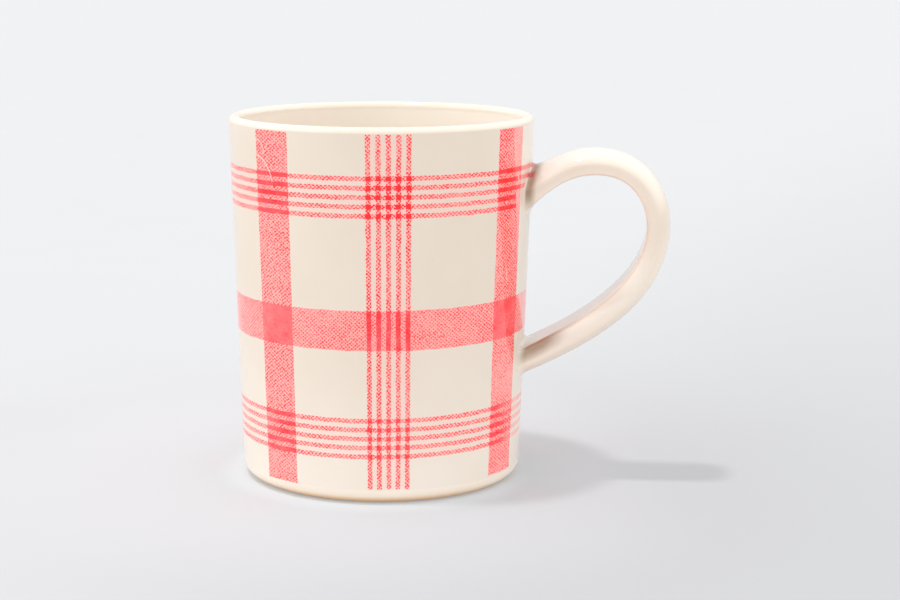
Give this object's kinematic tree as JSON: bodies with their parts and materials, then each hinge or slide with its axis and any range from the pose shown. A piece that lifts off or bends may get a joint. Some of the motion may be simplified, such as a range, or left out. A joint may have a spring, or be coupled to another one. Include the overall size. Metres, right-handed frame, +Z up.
{
  "type": "handled drinking mug",
  "caption": "Straight-sided stoneware mug with a looped strap handle, cream glaze and a red woven-check print round the wall.",
  "frame": {"origin": "centre of the foot ring, on the surface the mug stands on", "axes": "+Z up the mug's axis towards the rim; +X from the axis towards the handle; +Y completes the right-handed frame"},
  "size_m": [0.1187, 0.082, 0.098],
  "materials": {
    "bare_clay": "matt, fired stoneware",
    "cream_glaze": "glossy clear glaze over cream clay",
    "printed_glaze": "glossy clear glaze over a red woven-check transfer"
  },
  "bodies": {
    "root": {"clay_body": "bare_clay", "clay_handle": "bare_clay", "upper_slip_joint": "bare_clay", "lower_slip_joint": "bare_clay", "liner_glaze": "cream_glaze", "foot_glaze": "cream_glaze", "recess_glaze": "cream_glaze", "handle_glaze": "cream_glaze", "front_printed_glaze": "printed_glaze", "back_printed_glaze": "printed_glaze"}
  },
  "joints": []
}
